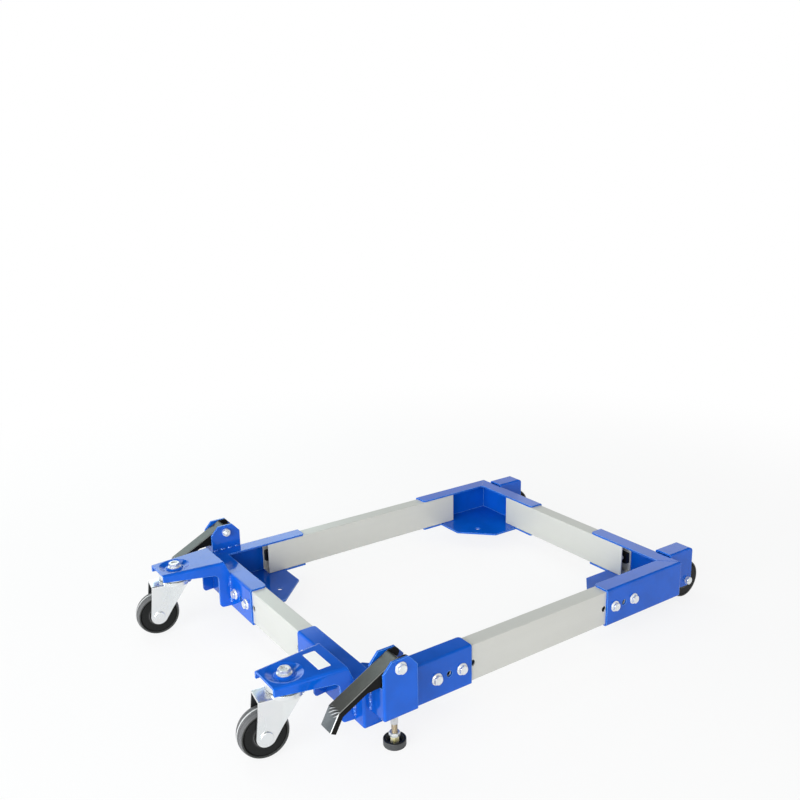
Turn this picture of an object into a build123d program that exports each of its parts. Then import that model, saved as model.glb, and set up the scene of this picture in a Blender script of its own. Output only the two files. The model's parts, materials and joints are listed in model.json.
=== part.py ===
from build123d import *
import math
import os

# Mobile base for a workshop machine. Four pressed corner brackets are bolted to box-section
# rails and carry the machine on their support plates. Two swivel casters lead at the front (-Y),
# two fixed wheels trail at the rear (+Y), and a pedal at each front corner works a levelling foot.
# Millimetres, +Z up. Pieces are drawn about the centre of the rail rectangle and shifted along Y
# when they are written, so that the origin lies on the floor under the middle of the whole base.

# Frame rectangle, over the outside of the brackets
frame_width = 500.0
frame_length = 610.0
frame_underside = 27.0
sheet = 3.0
bend_radius = 3.5

# Rails
rail_height = 54.0
rail_depth = 25.0
rail_wall = 2.0
rail_corner = 1.6
rail_end_margin = 12.0
rail_hole_count = 4

# Corner brackets and their support plates
arm_length = 173.0
flange_corner = 5.0
plate_reach = 132.0
plate_cut = 52.5
machine_hole_inset = 90.0
machine_hole = 9.0

# Rail bolts, in the first and third of three holes along each bracket arm
bolt_thread = 8.0
bolt_hole = 9.0
bolt_flange = 17.0
flange_skirt = 2.5
flange_edge = 1.0
bolt_hex = 12.0
bolt_head_height = 5.6
head_recess = 0.4
recess_rim_share = 0.76
recess_floor_share = 0.56
hex_corner_cut = 0.9
thread_end = 2.0
thread_end_cut = 0.8
hole_pitch = 21.0
hole_end_margin = 17.0
nut_bar_thickness = 8.0
nut_bar_height = 18.0
nut_bar_overhang = 10.0
nut_height = 8.0
thread_clearance = 0.05
drill_past = 1.0

# Caster arms
caster_inset = 60.0
kingpin_ahead = 77.0
arm_rise = 20.5
arm_bend = 4.5
arm_root_width = 78.0
arm_nose_width = 53.5
arm_nose_ahead = 28.0
arm_web_gap = 8.0
arm_lip_front = 11.5
arm_lip_root = 19.5
arm_leg_depth = 19.0
arm_leg_round = 6.0
arm_foot_gap = 4.5
arm_throat_round = 9.0
dish_radius = 24.0
dish_depth = 3.8
dish_round = 5.0
groove_outer = 15.5
groove_inner = 13.5
groove_round = 1.5
plateau_radius = 11.5
plateau_drop = 1.5

# Caster swivel heads
kingpin_thread = 10.0
kingpin_hole = 10.5
kingpin_flange = 20.0
kingpin_hex = 15.0
kingpin_head_height = 7.0
kingpin_recess = 1.7
race_radius = 25.0
race_thickness = 7.0
race_skirt = 3.0
race_edge = 2.5
race_hat_radius = 10.5
skirt_gap = 0.6
boss_radius = 10.0
ball_space = 5.0
ball_count = 12
ball_circle = 17.0
ball_gap = 0.3
cage_thickness = 1.4
cage_width = 6.0
cup_height = 3.0
swivel_gap = 0.2

# Wheels, all four alike
wheel_diameter = 67.0
tyre_width = 22.0
tread_crown = 26.0
tread_groove_offset = 4.5
tread_groove = 0.7
tyre_inner_radius = 17.0
side_groove_radius = 27.6
side_groove = 1.2
hub_width = 24.0
hub_boss_radius = 11.0
hub_web_width = 16.0
hub_rim = 2.5
axle_thread = 8.0
axle_flange = 13.0
sleeve_radius = 6.0
running_clearance = 0.05
hub_side_gap = 1.0

# Caster forks
trail = 32.0
caster_floor_gap = 1.0
fork_sheet = 3.0
fork_bend = 2.8
fork_end_radius = 13.0
fork_back = 17.0
fork_nose = 39.5
fork_crease = 9.0
fork_crease_round = 16.0
fork_flare = 4.5
cup_radius = 25.5
rivet_head_radius = 8.5
rivet_head_height = 2.2
rivet_head_edge = 1.5
right_swivel = -8.0
left_swivel = -8.0

# Rear wheel housings
rear_wheel_inset = 38.0
rear_axle_back = 45.0
cheek_margin = 9.5
cheek_round = 9.0
housing_round = 6.0
housing_rise = 3.0
housing_side_gap = 1.0

# Pedal clevises
pedal_setback = 36.0
clevis_width = 51.0
clevis_gap = 28.0
clevis_rise = 42.0
clevis_drop = 38.0
clevis_cut_across = 13.0
clevis_cut_down = 14.5
front_plate_height = 46.0
pivot_below_top = 12.0
pivot_nut_height = 6.5
pivot_end = 4.5

# Pedals
pedal_width = 25.0
pedal_sheet = 2.5
pedal_bend = 2.2
pedal_slope = 27.4
pedal_top = 11.0
pedal_heel = 5.0
pedal_length = 92.0
tip_length = 25.0
tip_slope = 34.0
pedal_wall = 8.0
gusset_start = 50.0
gusset_end = 18.0
ear_radius = 11.0
tail_reach = 10.5
tail_radius = 7.0
pedal_lift = 60.0

# Levelling feet
foot_travel = 8.0
cam_reach = 27.0
cam_hub_radius = 8.2
cam_gap = 0.3
cam_samples = 9
plunger_radius = 5.0
plunger_head_radius = 9.0
plunger_head = 4.0
plunger_below = 18.0
stem_bore_depth = 36.0
stem_engagement = 17.0
foot_hex = 11.0
foot_hex_height = 8.0
lock_nut_hex = 13.0
lock_nut_height = 5.0
pad_radius = 15.0
pad_height = 10.0
pad_edge = 1.5
pad_dish = 4.5
pad_dish_radius = 12.0
pad_seat_radius = 9.0
ball_end_radius = 6.0
ball_end_depth = 3.0
ball_end_gap = 0.1
spring_radius = 7.0
spring_wire = 1.8
spring_turns = 6
spring_seat_gap = 0.15

# Places that follow from the sizes above
half_width = frame_width / 2
half_length = frame_length / 2
frame_top = frame_underside + rail_height + 2 * sheet
deck = frame_underside + sheet
mid_height = (frame_underside + frame_top) / 2
flange_width = sheet + rail_depth
outer_bolt = arm_length - hole_end_margin
arm_holes = [outer_bolt - i * hole_pitch for i in range(3)]
bolted_holes = [arm_holes[0], arm_holes[2]]
rail_setback = arm_holes[2] - rail_end_margin

web_y = -half_length
caster_x = half_width - caster_inset
kingpin_y = web_y - kingpin_ahead
arm_top = frame_top + arm_rise
kingpin_seat = arm_top - plateau_drop
race_top = arm_top - sheet - dish_depth
race_face = race_top - race_thickness
cup_top = race_face - ball_space
fork_top = cup_top - cup_height
fork_under = fork_top - fork_sheet
wheel_radius = wheel_diameter / 2
caster_axle_z = wheel_radius + caster_floor_gap
fork_inner = hub_width + 2 * hub_side_gap
fork_outer = fork_inner + 2 * fork_sheet

rear_wheel_x = half_width - rear_wheel_inset
rear_axle_y = half_length + rear_axle_back
housing_inner = hub_width + 2 * housing_side_gap
housing_outer = housing_inner + 2 * sheet
housing_top = frame_top + housing_rise

pedal_x = half_width + clevis_gap / 2
pedal_y = web_y + pedal_setback
clevis_front = pedal_y - clevis_width / 2
clevis_back = pedal_y + clevis_width / 2
clevis_top = frame_top + clevis_rise
clevis_bottom = frame_top - clevis_drop
clevis_floor = clevis_bottom + sheet
cheek_outside = half_width + clevis_gap + sheet
pivot_z = clevis_top - pivot_below_top
plunger_top = pivot_z - cam_reach - cam_gap
plunger_bottom = clevis_bottom - plunger_below
stem_top = plunger_bottom + stem_engagement
foot_seat = pad_height - pad_dish
nut_seat = foot_seat + foot_hex_height
lock_nut_top = nut_seat + lock_nut_height


def caster_reach(swivel):
    """How far in front of the web a caster wheel reaches at a swivel angle in degrees."""
    forward = math.cos(math.radians(swivel))
    return kingpin_ahead + (trail + wheel_radius - tread_crown) * forward + tread_crown


front_reach = half_length + max(caster_reach(right_swivel), caster_reach(left_swivel))
rear_reach = half_length + rear_axle_back + wheel_radius
frame_y = (front_reach - rear_reach) / 2


def save(name, *solids):
    """Write one node, moved so that the origin is under the middle of the base."""
    shape = solids[0] if len(solids) == 1 else Compound(list(solids))
    export_step(Pos(0, frame_y, 0) * shape, f"parts/{name}.step")


def save_pair(name, shape):
    """Write a right-hand piece and its mirror image on the left."""
    save(f"right_{name}", shape)
    save(f"left_{name}", mirror(shape, about=Plane.YZ))


def save_mirrored_group(name, shape):
    """Write a right-hand piece and its mirror image as one node."""
    save(name, shape, mirror(shape, about=Plane.YZ))


def slab(x0, x1, y0, y1, z0, z1):
    """A box between two corners."""
    return Pos((x0 + x1) / 2, (y0 + y1) / 2, (z0 + z1) / 2) * Box(x1 - x0, y1 - y0, z1 - z0)


def rod(radius, z0, z1):
    """A cylinder along Z between two heights."""
    return Pos(0, 0, (z0 + z1) / 2) * Cylinder(radius, z1 - z0)


def plate(points, z0, z1):
    """A flat plate with a straight-sided outline, between two heights."""
    return extrude(Pos(0, 0, z0) * make_face(Polyline(*points, close=True)), amount=z1 - z0)


def side_plate(outline, x0, x1):
    """A plate across X whose outline is drawn as (Y, Z)."""
    return extrude(Pos(x0, 0, 0) * (Plane.YZ * make_face(outline)), amount=x1 - x0)


def pointing(x, y, z, direction):
    """The location whose own +Z points along a direction."""
    return Location(Plane(origin=(x, y, z), z_dir=direction))


# Fasteners, with the seat at the origin and the head or nut along +Z


def hex_prism(across_flats, z0, z1):
    """A hexagonal prism with both ends chamfered round, as turned from bar."""
    corner = across_flats / math.sqrt(3)
    prism = extrude(Pos(0, 0, z0) * RegularPolygon(corner, 6), amount=z1 - z0)
    turned = rod(corner, z0, z1)
    rim = turned.edges().filter_by(GeomType.CIRCLE)
    return prism & chamfer(rim, hex_corner_cut * (corner - across_flats / 2))


def skirt(flange, across_flats):
    """A flange with a thin round edge, rising in a cone to the hexagon."""
    cone = Cone(flange / 2, across_flats / 2, flange_skirt - flange_edge)
    return rod(flange / 2, 0, flange_edge) + Pos(0, 0, (flange_skirt + flange_edge) / 2) * cone


def flange_bolt(thread, flange, across_flats, head_height, reach, recess=head_recess):
    """A hex flange bolt with a sunk head, reaching a given length below its seat."""
    head = hex_prism(across_flats, 0, head_height) + skirt(flange, across_flats)
    half = across_flats / 2
    sunk = Cone(recess_floor_share * half, recess_rim_share * half, recess)
    shank = rod(thread / 2, -reach, 0)
    shank = chamfer(shank.edges().group_by(Axis.Z)[0], thread_end_cut)
    return head - Pos(0, 0, head_height - recess / 2) * sunk + shank


def lock_nut(thread, across_flats, height, flange):
    """A flanged lock nut, seated at the origin, with its bore right through."""
    nut = hex_prism(across_flats, 0, height) + skirt(flange, across_flats)
    return nut - rod(thread / 2 + thread_clearance, 0, height)


# Rails


def rail(length):
    """A plain box-section rail along X, centred."""
    bar = Box(length, rail_depth, rail_height)
    bar = fillet(bar.edges().filter_by(Axis.X), rail_corner)
    bar -= Box(length, rail_depth - 2 * rail_wall, rail_height - 2 * rail_wall)
    return bar


def rail_with_holes(length, outside):
    """A rail with rows of holes in its -Y wall, spaced from the outside of the frame."""
    bar = rail(length)
    first = outer_bolt + hole_pitch
    for end in (-1, 1):
        for i in range(rail_hole_count):
            place = end * (outside / 2 - first + i * hole_pitch)
            drill = pointing(place, -rail_depth / 2 + rail_wall / 2, 0, (0, 1, 0))
            bar -= drill * Cylinder(bolt_hole / 2, 2 * rail_wall)
    return bar


def make_rails():
    rail_z = deck + rail_height / 2
    inset = sheet + rail_depth / 2
    cross = rail_with_holes(frame_width - 2 * rail_setback, frame_width)
    along = rail_with_holes(frame_length - 2 * rail_setback, frame_length)
    save("front_rail", Pos(0, -half_length + inset, rail_z) * cross)
    save("rear_rail", Pos(0, half_length - inset, rail_z) * Rot(0, 0, 180) * cross)
    save("right_side_rail", Pos(half_width - inset, 0, rail_z) * Rot(0, 0, 90) * along)
    save("left_side_rail", Pos(-half_width + inset, 0, rail_z) * Rot(0, 0, -90) * along)


# Corner brackets, drawn with the outer corner at the origin and the arms along +X and +Y


def corner_bracket():
    legs = arm_length
    lip = flange_width
    reach = plate_reach
    cut = plate_reach - plate_cut
    floor_outline = [(0, 0), (legs, 0), (legs, lip), (reach, lip), (reach, cut),
                     (cut, reach), (lip, reach), (lip, legs), (0, legs)]
    roof_outline = [(0, 0), (legs, 0), (legs, lip), (lip, lip), (lip, legs), (0, legs)]
    bracket = plate(floor_outline, frame_underside, deck)
    roof = plate(roof_outline, frame_top - sheet, frame_top)
    free_corners = [e for e in roof.edges().filter_by(Axis.Z)
                    if abs(e.center().X + e.center().Y - legs - lip) < 0.001]
    bracket += fillet(free_corners, flange_corner)
    bracket += slab(0, legs, 0, sheet, frame_underside, frame_top)
    bracket += slab(0, sheet, 0, legs, frame_underside, frame_top)
    walls = [f for f in bracket.faces() if min(abs(f.center().X), abs(f.center().Y)) < 0.001]
    corner = bracket.edges().filter_by(Axis.Z).sort_by_distance((0, 0, mid_height))[0]
    folds = [e for f in walls for e in f.edges() if abs(e.tangent_at(0).Z) < 0.5]
    bracket = fillet(folds + [corner], bend_radius)
    for along in arm_holes:
        bracket -= pointing(along, sheet / 2, mid_height, (0, 1, 0)) * Cylinder(bolt_hole / 2, 2 * sheet)
        bracket -= pointing(sheet / 2, along, mid_height, (1, 0, 0)) * Cylinder(bolt_hole / 2, 2 * sheet)
    hole = rod(machine_hole / 2, frame_underside - drill_past, deck + drill_past)
    return bracket - Pos(machine_hole_inset, machine_hole_inset, 0) * hole


def at_corner(shape, side, end):
    """Set a piece drawn for a corner at the right (1) or left (-1), rear (1) or front (-1)."""
    if side > 0:
        shape = mirror(shape, about=Plane.YZ)
    if end > 0:
        shape = mirror(shape, about=Plane.XZ)
    return Pos(side * half_width, end * half_length, 0) * shape


def make_corners():
    bracket = corner_bracket()
    reach = sheet + rail_wall + nut_bar_thickness + thread_end
    bolt = flange_bolt(bolt_thread, bolt_flange, bolt_hex, bolt_head_height, reach)
    bar_start = bolted_holes[1] - nut_bar_overhang
    bar_end = bolted_holes[0] + nut_bar_overhang
    inside = sheet + rail_wall
    bar = slab(bar_start, bar_end, inside, inside + nut_bar_thickness,
               mid_height - nut_bar_height / 2, mid_height + nut_bar_height / 2)
    for along in arm_holes:
        tap = pointing(along, inside + nut_bar_thickness / 2, mid_height, (0, 1, 0))
        bar -= tap * Cylinder(bolt_thread / 2 + thread_clearance, 2 * nut_bar_thickness)
    diagonal = Plane(origin=(0, 0, 0), z_dir=(1, -1, 0))
    bolts = []
    bars = []
    for side_name, side in (("left", -1), ("right", 1)):
        for end_name, end in (("front", -1), ("rear", 1)):
            save(f"{end_name}_{side_name}_corner", at_corner(bracket, side, end))
            bars.append(at_corner(bar, side, end))
            bars.append(at_corner(mirror(bar, about=diagonal), side, end))
            for along in bolted_holes:
                bolts.append(at_corner(pointing(along, 0, mid_height, (0, -1, 0)) * bolt, side, end))
                bolts.append(at_corner(pointing(0, along, mid_height, (-1, 0, 0)) * bolt, side, end))
    save("rail_bolts", *bolts)
    save("rail_nut_bars", *bars)


# Caster arms: a tapered channel, open downwards, on two legs welded to the front web


def caster_arm():
    nose_y = kingpin_y - arm_nose_ahead
    foot = frame_underside + arm_foot_gap

    def tapered(inset, z0, z1, over):
        root = arm_root_width / 2 - inset
        nose = arm_nose_width / 2 - inset
        slope = (root - nose) / (web_y - nose_y)
        outline = [(-root - slope * over, web_y + over), (root + slope * over, web_y + over),
                   (nose - slope * over, nose_y - over), (-nose + slope * over, nose_y - over)]
        return plate(outline, z0, z1)

    def folded(block, radius):
        return fillet([e for e in block.edges().group_by(Axis.Z)[-1] if abs(e.tangent_at(0).Y) > 0.5], radius)

    block = folded(tapered(0, foot, arm_top, 0), arm_bend)
    block -= folded(tapered(sheet, foot, arm_top - sheet, sheet), arm_bend - sheet)
    leg_y = web_y - arm_leg_depth
    outline = FilletPolyline(
        (nose_y, arm_top), (web_y - arm_web_gap, arm_top), (web_y, frame_top), (web_y, foot),
        (leg_y, foot), (leg_y, arm_top - arm_lip_root), (nose_y, arm_top - arm_lip_front),
        radius=[0, 0, 0, 0, arm_leg_round, arm_throat_round, 0], close=True)
    arm = block & side_plate(outline, -arm_root_width, arm_root_width)
    pressed = Pos(0, kingpin_y, arm_top) * race_pressing()
    arm += Pos(0, 0, -sheet) * pressed
    arm -= pressed
    rims = [e for e in arm.edges().filter_by(GeomType.CIRCLE) if e.center().Z > arm_top - dish_depth - 0.001]
    arm = fillet([e for e in rims if e.radius > dish_radius - 0.001], dish_round)
    rims = [e for e in arm.edges().filter_by(GeomType.CIRCLE) if e.center().Z > arm_top - dish_depth - 0.001]
    arm = fillet([e for e in rims if e.radius < groove_outer + 0.001], groove_round)
    arm -= Pos(0, kingpin_y, 0) * rod(kingpin_hole / 2, race_top - drill_past, arm_top + drill_past)
    return Pos(caster_x, 0, 0) * arm


def race_pressing():
    """What the press pushes down around a kingpin: a ring over the balls and a shallower middle, below Z 0."""
    outline = [(0, 0), (dish_radius, 0), (groove_outer, -dish_depth), (groove_inner, -dish_depth),
               (plateau_radius, -plateau_drop), (0, -plateau_drop)]
    return revolve(Plane.XZ * make_face(Polyline(*outline, close=True)), Axis.Z)


# Swivel heads and wheels, drawn about their own axes


def upper_race():
    """The fixed race: a cap over the balls and the boss that the fork turns on."""
    cap = rod(race_radius, cup_top + skirt_gap, race_top)
    cap = fillet(cap.edges().filter_by(GeomType.CIRCLE), race_edge)
    cap -= rod(race_radius - race_skirt, cup_top, race_face)
    race = cap + rod(boss_radius, fork_under - swivel_gap, race_face)
    race += rod(race_hat_radius, race_top, kingpin_seat - sheet)
    return race - rod(kingpin_hole / 2, fork_under - drill_past, kingpin_seat)


def ball_ring():
    """Bearing balls in a flat cage."""
    ball_z = (cup_top + race_face) / 2
    ball_radius = ball_space / 2 - ball_gap
    ring = rod(ball_circle + cage_width / 2, ball_z - cage_thickness / 2, ball_z + cage_thickness / 2)
    ring -= rod(ball_circle - cage_width / 2, ball_z - cage_thickness, ball_z + cage_thickness)
    balls = [Rot(0, 0, i * 360 / ball_count) * Pos(ball_circle, 0, ball_z) * Sphere(ball_radius)
             for i in range(ball_count)]
    return ring + balls


def fork_plan(half_width_ahead):
    """A fork's outline from above: straight sides along the wheel, then flared towards the race."""
    flared = half_width_ahead + fork_flare
    reach = trail + fork_end_radius
    side = FilletPolyline(
        (half_width_ahead, -reach), (half_width_ahead, -fork_crease), (flared, fork_back),
        radius=fork_crease_round)
    nose = Line((half_width_ahead, -reach), (-half_width_ahead, -reach))
    back = Line((flared, fork_back), (-flared, fork_back))
    return make_face(side + mirror(side, about=Plane.YZ) + nose + back)


def caster_fork():
    """The pressed fork with its wheel trailing along -Y from the kingpin at the origin."""
    fork = extrude(fork_plan(fork_outer / 2), amount=fork_top)
    bends = [e for e in fork.edges().group_by(Axis.Z)[-1] if abs(e.center().X) > fork_inner / 2]
    fork = fillet(bends, fork_bend)
    fork -= extrude(fork_plan(fork_inner / 2), amount=fork_under)
    leg = make_face(Polyline(*fork_leg_outline(), close=True))
    leg += Pos(-trail, caster_axle_z) * Circle(fork_end_radius)
    leg += Pos((fork_back - fork_nose) / 2, fork_under + fork_sheet / 2) * Rectangle(fork_nose + fork_back, fork_sheet)
    fork = fork & extrude(Plane.YZ * leg, amount=fork_outer, both=True)
    fork += rod(cup_radius, fork_under, cup_top)
    fork -= rod(boss_radius + running_clearance, fork_under - drill_past, cup_top + drill_past)
    axle = pointing(0, -trail, caster_axle_z, (1, 0, 0))
    return fork - axle * Cylinder(axle_thread / 2 + running_clearance, 2 * fork_outer)


def fork_leg_outline():
    """A leg's side view: steep in front, slanting behind down to a round end at the axle."""
    back = Vector(fork_back, fork_top)
    centre = Vector(-trail, caster_axle_z)
    span = back - centre
    swing = math.degrees(math.acos(fork_end_radius / span.length))
    touch = centre + span.normalized().rotate(Axis.Z, -swing) * fork_end_radius
    return [(-fork_nose, fork_top), (-trail - fork_end_radius, caster_axle_z), (centre.X, centre.Y),
            (touch.X, touch.Y), (back.X, back.Y)]


def hub():
    """A wheel core about the X axis: boss, thinner web and rim."""
    rim = tyre_inner_radius - hub_rim
    boss = sleeve_radius + running_clearance
    outline = [(boss, hub_width / 2), (hub_boss_radius, hub_width / 2),
               (hub_boss_radius, hub_web_width / 2), (rim, hub_web_width / 2),
               (rim, tyre_width / 2), (tyre_inner_radius, tyre_width / 2)]
    whole = outline + [(r, -x) for r, x in reversed(outline)]
    return Rot(0, 90, 0) * revolve(Plane.XZ * make_face(Polyline(*whole, close=True)), Axis.Z)


def tyre():
    """A crowned tyre about the X axis, with two tread grooves and a groove on each side."""
    half = tyre_width / 2
    edge = wheel_radius - tread_crown + math.sqrt(tread_crown ** 2 - half ** 2)
    side = Polyline((edge, -half), (tyre_inner_radius, -half), (tyre_inner_radius, half), (edge, half))
    crown = ThreePointArc((edge, half), (wheel_radius, 0), (edge, -half))
    body = revolve(Plane.XZ * make_face(side + crown), Axis.Z)
    for x in (-half, half):
        body -= Pos(0, 0, x) * Torus(side_groove_radius, side_groove)
    for x in (-tread_groove_offset, tread_groove_offset):
        tread = wheel_radius - tread_crown + math.sqrt(tread_crown ** 2 - x ** 2)
        body -= Pos(0, 0, x) * Torus(tread, tread_groove)
    return Rot(0, 90, 0) * body


def sleeve(length):
    """An axle sleeve about the X axis, clamped between two cheeks."""
    tube = Cylinder(sleeve_radius, length) - Cylinder(axle_thread / 2 + thread_clearance, length)
    return Rot(0, 90, 0) * tube


def make_casters():
    save_pair("caster_arm", caster_arm())
    reach = kingpin_seat - fork_under + swivel_gap + nut_height + thread_end
    kingpin = flange_bolt(kingpin_thread, kingpin_flange, kingpin_hex, kingpin_head_height, reach, kingpin_recess)
    nut = lock_nut(kingpin_thread, kingpin_hex, nut_height, fork_inner - hub_side_gap)
    at_kingpin = Pos(caster_x, kingpin_y, 0)
    under_fork = pointing(0, 0, fork_under - swivel_gap, (0, 0, -1))
    save_mirrored_group("kingpin_bolts", at_kingpin * Pos(0, 0, kingpin_seat) * kingpin)
    save_mirrored_group("kingpin_nuts", at_kingpin * under_fork * nut)
    save_mirrored_group("caster_races", at_kingpin * upper_race())
    axle_reach = fork_outer + nut_height
    pin = rod(axle_thread / 2, -axle_reach, 0) + rivet_head()
    axle_nut = lock_nut(axle_thread, bolt_hex, nut_height, bolt_flange)
    pieces = {
        "fork": caster_fork(),
        "ball_ring": ball_ring(),
        "caster_axle": pointing(fork_outer / 2, -trail, caster_axle_z, (1, 0, 0)) * pin,
        "caster_axle_nut": pointing(-fork_outer / 2, -trail, caster_axle_z, (-1, 0, 0)) * axle_nut,
        "caster_sleeve": Pos(0, -trail, caster_axle_z) * sleeve(fork_inner),
        "caster_hub": Pos(0, -trail, caster_axle_z) * hub(),
        "caster_tyre": Pos(0, -trail, caster_axle_z) * tyre(),
    }
    for side_name, side, swivel in (("right", 1, right_swivel), ("left", -1, left_swivel)):
        place = Pos(side * caster_x, kingpin_y, 0) * Rot(0, 0, swivel)
        for name, shape in pieces.items():
            save(f"{side_name}_{name}", place * shape)


def rivet_head():
    """The broad flat head of a caster axle, domed at its edge."""
    head = rod(rivet_head_radius, 0, rivet_head_height)
    return fillet(head.edges().group_by(Axis.Z)[-1], rivet_head_edge)


# Rear wheel housings: a channel, open downwards and behind, welded to the rear web


def wheel_housing():
    end_y = rear_axle_y + cheek_margin
    block = slab(-housing_outer / 2, housing_outer / 2, half_length, end_y, 0, housing_top)
    folds = [e for e in block.edges().group_by(Axis.Z)[-1] if abs(e.tangent_at(0).Y) > 0.5]
    block = fillet(folds, bend_radius)
    block -= slab(-housing_inner / 2, housing_inner / 2, half_length, end_y, 0, housing_top - sheet)
    outline = FilletPolyline(
        (half_length, housing_top), (end_y, housing_top), (end_y, wheel_radius - cheek_margin),
        (rear_axle_y - cheek_margin, wheel_radius - cheek_margin), (half_length, frame_underside),
        radius=[0, housing_round, cheek_round, cheek_margin / 2, 0], close=True)
    housing = block & side_plate(outline, -housing_outer, housing_outer)
    axle = pointing(0, rear_axle_y, wheel_radius, (1, 0, 0))
    return housing - axle * Cylinder(axle_thread / 2 + running_clearance, 2 * housing_outer)


def make_rear_wheels():
    at_axle = Pos(rear_wheel_x, rear_axle_y, wheel_radius)
    bolt = flange_bolt(axle_thread, axle_flange, bolt_hex, bolt_head_height, housing_outer + nut_height)
    nut = lock_nut(axle_thread, bolt_hex, nut_height, bolt_flange)
    save_pair("wheel_housing", Pos(rear_wheel_x, 0, 0) * wheel_housing())
    save_mirrored_group("rear_axle_bolts", at_axle * pointing(housing_outer / 2, 0, 0, (1, 0, 0)) * bolt)
    save_mirrored_group("rear_axle_nuts", at_axle * pointing(-housing_outer / 2, 0, 0, (-1, 0, 0)) * nut)
    save_mirrored_group("rear_axle_sleeves", at_axle * sleeve(housing_inner))
    save_pair("rear_hub", at_axle * hub())
    save_pair("rear_tyre", at_axle * tyre())


# Pedal clevises: an outer cheek folded under and in front, and a cheek standing on the bracket


def cheek_outline(bottom):
    """A cheek's side view, with its two top corners cut off."""
    shoulder = clevis_top - clevis_cut_down
    return Polyline(
        (clevis_front, bottom), (clevis_back, bottom), (clevis_back, shoulder),
        (clevis_back - clevis_cut_across, clevis_top), (clevis_front + clevis_cut_across, clevis_top),
        (clevis_front, shoulder), close=True)


def pivot_hole(shape):
    """Drill a cheek for the pivot bolt."""
    drill = pointing(pedal_x, pedal_y, pivot_z, (1, 0, 0))
    return shape - drill * Cylinder(bolt_thread / 2 + running_clearance, 4 * clevis_gap)


def pedal_clevis():
    inner = half_width + clevis_gap
    clevis = side_plate(cheek_outline(clevis_bottom), inner, cheek_outside)
    clevis += slab(half_width, inner, clevis_front, clevis_front + sheet, clevis_bottom,
                   clevis_bottom + front_plate_height)
    clevis += slab(half_width, inner, clevis_front, clevis_back, clevis_bottom, clevis_floor)
    bends = [e for f in clevis.faces().sort_by(Axis.X)[-1:] for e in f.edges()
             if abs(e.center().Z - clevis_bottom) < 0.001 or abs(e.center().Y - clevis_front) < 0.001]
    low_front = [e for e in clevis.edges().filter_by(Axis.X)
                 if abs(e.center().Z - clevis_bottom) + abs(e.center().Y - clevis_front) < 0.001]
    clevis = fillet(bends + low_front, bend_radius)
    guide = rod(plunger_radius + running_clearance, clevis_bottom - drill_past, clevis_floor + drill_past)
    return pivot_hole(clevis - Pos(pedal_x, pedal_y, 0) * guide)


def inner_cheek():
    return pivot_hole(side_plate(cheek_outline(frame_top), half_width - sheet, half_width))


def make_clevises():
    save_pair("pedal_clevis", pedal_clevis())
    save_pair("inner_cheek", inner_cheek())
    grip = clevis_gap + 2 * sheet
    reach = grip + pivot_nut_height + pivot_end
    bolt = flange_bolt(bolt_thread, bolt_flange, bolt_hex, bolt_head_height, reach)
    nut = lock_nut(bolt_thread, bolt_hex, pivot_nut_height, axle_flange)
    tube = Cylinder(sleeve_radius, clevis_gap) - Cylinder(bolt_thread / 2 + thread_clearance, clevis_gap)
    save_mirrored_group("pivot_bolts", pointing(cheek_outside, pedal_y, pivot_z, (1, 0, 0)) * bolt)
    save_mirrored_group("pivot_nuts", pointing(half_width - sheet, pedal_y, pivot_z, (-1, 0, 0)) * nut)
    save_mirrored_group("pivot_sleeves", pointing(pedal_x, pedal_y, pivot_z, (1, 0, 0)) * tube)


# Pedals, drawn about their pivot with +X along the lever and +Y square to it, upwards


def lever_profile(depth, gusset):
    """The lever's side view down to a depth below its top face, with or without its ears."""
    slope = math.radians(tip_slope)
    tip = (pedal_length + tip_length * math.cos(slope), pedal_top - tip_length * math.sin(slope))
    inward = (-depth * math.sin(slope), -depth * math.cos(slope))
    inner_bend = pedal_length - depth * math.tan(slope / 2)
    points = [(-pedal_heel, pedal_top), (pedal_length, pedal_top), tip,
              (tip[0] + inward[0], tip[1] + inward[1]), (inner_bend, pedal_top - depth)]
    if gusset:
        points += [(gusset_start, pedal_top - depth), (gusset_end, -ear_radius), (0, -ear_radius),
                   (-tail_reach, -tail_radius), (-tail_reach, tail_radius)]
    else:
        points += [(-pedal_heel, pedal_top - depth)]
    face = make_face(Polyline(*points, close=True))
    if gusset:
        face += Circle(ear_radius) + Pos(-tail_reach, 0) * Circle(tail_radius)
    return face


def on_pedal(face, width):
    """Extrude a profile drawn in the lever's own axes to a width centred on the pedal."""
    slope = math.radians(pedal_slope)
    lever_axes = Plane(origin=(pedal_x, pedal_y, pivot_z),
                       x_dir=(0, -math.cos(slope), -math.sin(slope)), z_dir=(-1, 0, 0))
    return extrude(lever_axes * face, amount=width / 2, both=True)


def pedal_bore():
    drill = Cylinder(sleeve_radius + running_clearance, 2 * clevis_gap)
    return pointing(pedal_x, pedal_y, pivot_z, (1, 0, 0)) * drill


def on_top(edge):
    """Whether an edge runs along the lever's top face or the top of its tip."""
    slope = math.radians(pedal_slope)
    middle = edge.center()
    ahead = pedal_y - middle.Y
    above = middle.Z - pivot_z
    along = ahead * math.cos(slope) - above * math.sin(slope)
    height = ahead * math.sin(slope) + above * math.cos(slope)
    tip_drop = (along - pedal_length) * math.tan(math.radians(tip_slope))
    return abs(height - pedal_top + max(tip_drop, 0)) < 0.001


def pedal_lever():
    """A pressed channel: top plate with a turned-down tip, and walls that deepen into ears."""
    walls = on_pedal(lever_profile(pedal_wall, True), pedal_width)
    top = on_pedal(lever_profile(pedal_sheet, False), pedal_width)
    walls -= on_pedal(lever_profile(pedal_wall, True), pedal_width - 2 * pedal_sheet)
    lever = walls + top
    shoulders = [e for f in (lever.faces().sort_by(Axis.X)[0], lever.faces().sort_by(Axis.X)[-1])
                 for e in f.edges() if on_top(e)]
    return fillet(shoulders, pedal_bend) - pedal_bore()


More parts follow.
